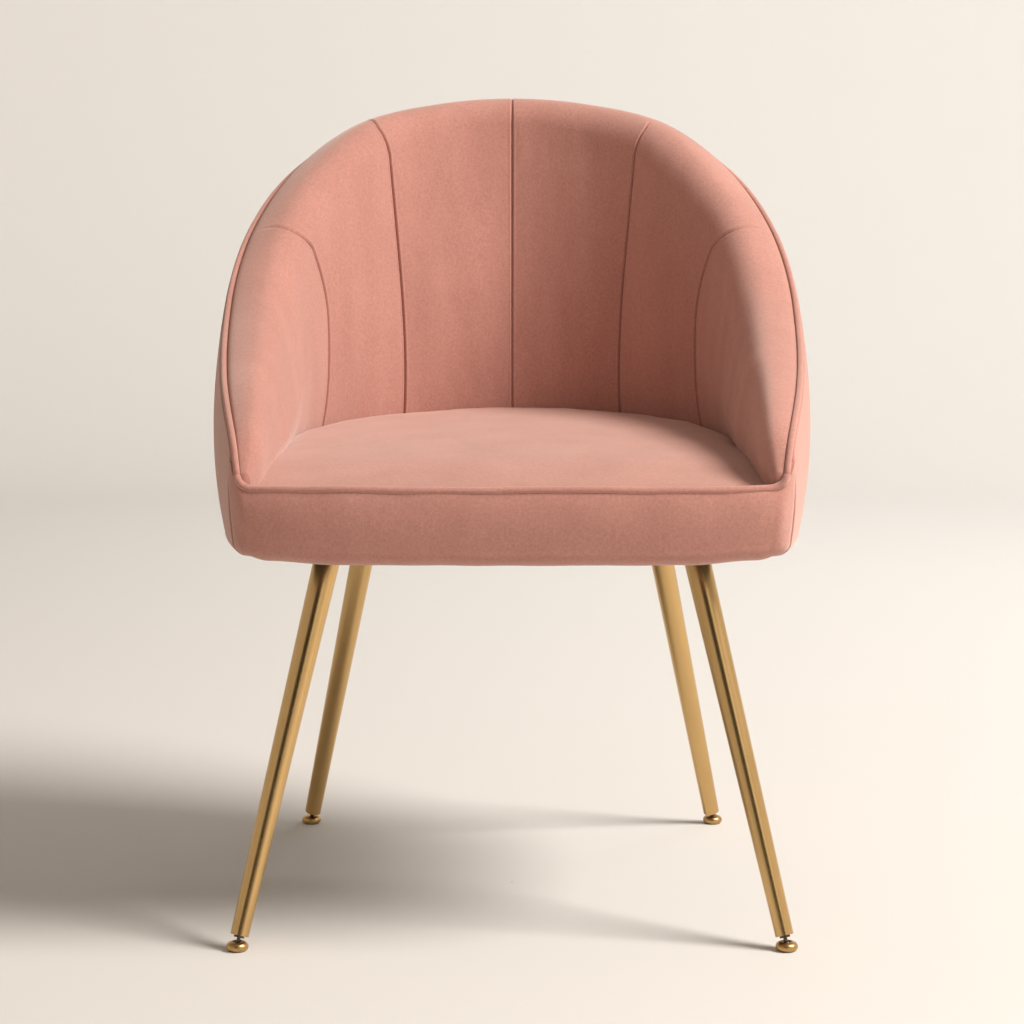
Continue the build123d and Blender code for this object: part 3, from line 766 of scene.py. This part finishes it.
centre = make_cover("outer_panel_centre", -OUTER_SEAM, OUTER_SEAM, 60)
place_piece(centre, VELVET, "outer_cover_centre", "outer_padding")
place_piece(make_cover("outer_panel_left", -CORNER_ANGLE, -OUTER_SEAM, 130), VELVET, "outer_cover_left")
place_piece(make_cover("outer_panel_right", OUTER_SEAM, CORNER_ANGLE, 130), VELVET, "outer_cover_right")

cushion = place_piece(make_cushion(), VELVET, "seat_cushion_cover", "seat_foam")
border = place_piece(make_border(), VELVET, "front_border_cover", "front_border_foam")
place_piece(make_seat_welt(), VELVET, "seat_welt", slot="welt_velvet")
place_piece(make_rim_welt(), VELVET, "rim_welt", slot="welt_velvet")


def make_dust_cloth():
    """The cloth under the seat, kept behind the border at the front corners."""
    front_zone, half_width, front_edge = -0.19, 0.218, -0.236
    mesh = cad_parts["dust_cover"].data.copy()
    cloth = bpy.data.objects.new("dust_cloth", mesh)
    bpy.context.scene.collection.objects.link(cloth)
    place = mesh_points(mesh)
    front = place[:, 1] < PLAN_Y + front_zone
    place[front, 0] = np.clip(place[front, 0], -half_width, half_width)
    place[:, 1] = np.maximum(place[:, 1], PLAN_Y + front_edge)
    mesh.vertices.foreach_set("co", place.ravel())
    mesh.update()
    return cloth


place_piece(make_dust_cloth(), LOOKS["dust"], "dust_cover", slot="dust_cloth")


# Studio: a round pale sweep, one large key light from the right, and soft fill

LIGHTS = [
    # name, place, aimed at, diameter, watts, colour
    ("key", (3.06, -1.14, 3.56), (0, 0, 0.45), 2.0, 318, (1.0, 0.96, 0.91)),
    ("front_fill", (1.3, -3.1, 1.3), (0, 0, 0.4), 1.2, 4.5, (1.0, 0.95, 0.90)),
    ("backdrop_light", (1.3, 1.7, 3.0), (0.9, 4.6, 1.2), 1.4, 54, (0.97, 1.0, 1.04)),
]
WORLD_COLOUR = (1.0, 0.82, 0.64, 1)
WORLD_STRENGTH = 0.25
CAMERA_PLACE = (0, -2.811, 0.72)
CAMERA_TILT = math.radians(90 - 7)
CAMERA_LENS = 100.6
PAPER_COLOUR = (0.655, 0.633, 0.606)


def make_sweep():
    """Floor that bends up into a wall all round."""
    floor, bend, wall = 3.4, 1.3, 3.2
    profile = [(0.001, 0), (1.0, 0), (2.2, 0), (floor, 0)]
    for i in range(1, 17):
        turn = i / 16 * math.pi / 2
        profile.append((floor + bend * math.sin(turn), bend * (1 - math.cos(turn))))
    profile.append((floor + bend, wall))
    turns = np.linspace(0, 2 * math.pi, 96, endpoint=False)
    points = np.array([[(r * math.cos(t), r * math.sin(t), z) for t in turns] for r, z in profile])
    sweep = grid_object("studio_sweep", points, wrap_columns=True)
    material, tree, shader = node_material("studio_paper", PAPER_COLOUR, 0.9)
    bump(tree, shader, noise(tree, 60.0, 3.0), 0.05, 0.0005)
    set_material(sweep, material)


def make_flag():
    """Black cloth behind the camera that only polished metal reflects."""
    left, right, low, high, behind = -1.7, 2.1, 0.30, 2.9, -3.6
    points = np.array([[(x, behind, z) for x in (left, right)] for z in (low, high)])
    flag = grid_object("studio_flag", points)
    material, tree, shader = node_material("flag_cloth", (0.01, 0.01, 0.01), 1.0)
    bump(tree, shader, noise(tree, 60.0, 3.0), 0.05, 0.0005)
    set_material(flag, material)
    flag.visible_camera = False
    flag.visible_diffuse = False
    flag.visible_shadow = False


def area_light(name, place, target, size, power, colour):
    data = bpy.data.lights.new(name, "AREA")
    data.shape = "DISK"
    data.size = size
    data.energy = power
    data.color = colour
    light = bpy.data.objects.new(name, data)
    bpy.context.scene.collection.objects.link(light)
    light.location = place
    light.rotation_euler = (Vector(target) - Vector(place)).to_track_quat("-Z", "Y").to_euler()


def make_camera():
    data = bpy.data.cameras.new("camera")
    data.sensor_width = 36
    data.lens = CAMERA_LENS
    camera = bpy.data.objects.new("camera", data)
    bpy.context.scene.collection.objects.link(camera)
    camera.location = CAMERA_PLACE
    camera.rotation_euler = (CAMERA_TILT, 0, 0)
    data.clip_end = 50
    bpy.context.scene.camera = camera


make_sweep()
make_flag()
for light in LIGHTS:
    area_light(*light)
world = bpy.data.worlds.new("studio")
bpy.context.scene.world = world
world.use_nodes = True
background = world.node_tree.nodes["Background"]
background.inputs["Color"].default_value = WORLD_COLOUR
background.inputs["Strength"].default_value = WORLD_STRENGTH
bpy.context.scene.view_settings.view_transform = "Standard"
make_camera()
